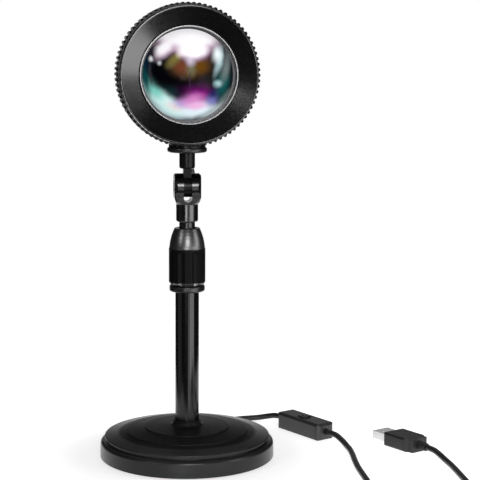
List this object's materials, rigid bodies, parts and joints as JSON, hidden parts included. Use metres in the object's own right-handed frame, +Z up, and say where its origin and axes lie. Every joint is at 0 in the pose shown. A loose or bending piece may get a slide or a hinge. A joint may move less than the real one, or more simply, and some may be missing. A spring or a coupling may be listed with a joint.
{
  "type": "projection lamp",
  "caption": "Sunset projection lamp: round ribbed head with a domed glass lens on a tilting yoke, telescoping pole, weighted round base and a USB lead with an in-line switch.",
  "frame": {"origin": "centre of the underside of the round base, on the table", "axes": "+Z up the pole, -Y the way the lens faces, +X to the right as seen from the front"},
  "size_m": [0.1975, 0.2277, 0.259],
  "materials": {
    "foot_rubber": "matte foam rubber",
    "bare_steel": "zinc plated",
    "cast_iron": "rough casting",
    "base_enamel": "black semi-gloss enamel",
    "pole_enamel": "black gloss enamel",
    "rod_black": "black plated",
    "yoke_black": "black semi-gloss on a die casting",
    "clamp_plastic": "black semi-gloss",
    "nylon": "natural nylon",
    "screw_black": "black oxide",
    "rib_black": "black anodised",
    "bezel_black": "black satin anodised, turned",
    "ring_black": "black with a polished edge",
    "cover_black": "black satin",
    "lens_glass": "clear polished",
    "filter_glass": "colour coated",
    "reflector_chrome": "bright metallised",
    "led_phosphor": "phosphor",
    "receiver_plastic": "dark infrared window",
    "board_white": "white solder mask on aluminium",
    "board_green": "solder mask",
    "pad_grey": "soft silicone",
    "wire_red": "insulated wire",
    "boot_plastic": "matte moulded",
    "lead_jacket": "satin black jacket",
    "tie_fabric": "hook and loop band",
    "switch_plastic": "black satin, finely textured",
    "button_plastic": "black",
    "plug_plastic": "black satin",
    "plug_steel": "nickel plated",
    "tongue_plastic": "white",
    "contact_gold": "gold plated"
  },
  "bodies": {
    "stand": {"foot_pad": "foot_rubber", "base_plate": "bare_steel", "base_screws": "bare_steel", "base_weight": "cast_iron", "base_cover": "base_enamel", "pole_screw": "bare_steel", "pole_washer": "bare_steel", "tube_insert": "bare_steel", "outer_tube": "pole_enamel", "clamp_collar": "clamp_plastic", "collet": "nylon", "lead_to_switch": "lead_jacket", "lead_to_coil": "lead_jacket", "lead_coil": "lead_jacket", "lead_to_plug": "lead_jacket", "coil_tie": "tie_fabric", "switch_bottom": "switch_plastic", "switch_top": "switch_plastic", "switch_module": "nylon", "switch_grommets": "boot_plastic", "plug_grip": "plug_plastic", "plug_shell": "plug_steel", "plug_tongue": "tongue_plastic", "plug_contacts": "contact_gold", "plug_boot": "boot_plastic"},
    "clamp": {"clamp_nut": "clamp_plastic"},
    "mast": {"mast_rod": "rod_black", "rod_bush": "nylon", "rod_cap": "nylon", "swivel_pin": "bare_steel", "swivel_washer": "clamp_plastic", "lead_lower": "lead_jacket"},
    "yoke": {"yoke": "yoke_black", "yoke_grub_screw": "bare_steel", "pivot_screw": "screw_black", "pivot_nut": "screw_black", "lead_upper": "lead_jacket"},
    "head": {"neck": "yoke_black", "neck_stud": "bare_steel", "stud_nut": "bare_steel", "flange_disc": "yoke_black", "head_boss": "yoke_black", "head_housing": "rib_black", "front_bezel": "bezel_black", "lens_retainer": "ring_black", "lens_glass": "lens_glass", "lens_gasket": "foot_rubber", "colour_filter": "filter_glass", "reflector": "reflector_chrome", "led_chip": "led_phosphor", "ir_receiver": "receiver_plastic", "led_board": "board_white", "led_screws": "bare_steel", "thermal_pad": "pad_grey", "driver_board": "board_green", "head_wires": "wire_red", "rear_cover": "cover_black", "rear_screws": "screw_black", "cable_gland": "boot_plastic"},
    "button": {"switch_button": "button_plastic"}
  },
  "joints": [
    {"name": "clamp_turn", "type": "hinge", "parent": "stand", "child": "clamp", "pos_m": [0, 0, 0.11], "axis": [0, 0, 1], "range_deg": [0, 180]},
    {"name": "rod_slide", "type": "slide", "parent": "stand", "child": "mast", "axis": [0, 0, 1], "range_m": [0, 0.06], "deforming": ["lead_to_switch"]},
    {"name": "yoke_swivel", "type": "hinge", "parent": "mast", "child": "yoke", "pos_m": [0, 0, 0.1361], "axis": [0, 0, 1], "range_deg": [-90, 90], "deforming": ["lead_lower"]},
    {"name": "head_tilt", "type": "hinge", "parent": "yoke", "child": "head", "pos_m": [0, 0, 0.1561], "axis": [1, 0, 0], "range_deg": [-90, 90], "deforming": ["lead_upper"]},
    {"name": "button_press", "type": "slide", "parent": "stand", "child": "button", "axis": [0, 0, -1], "range_m": [0, 0.001], "stiffness_N_per_m": 300}
  ]
}
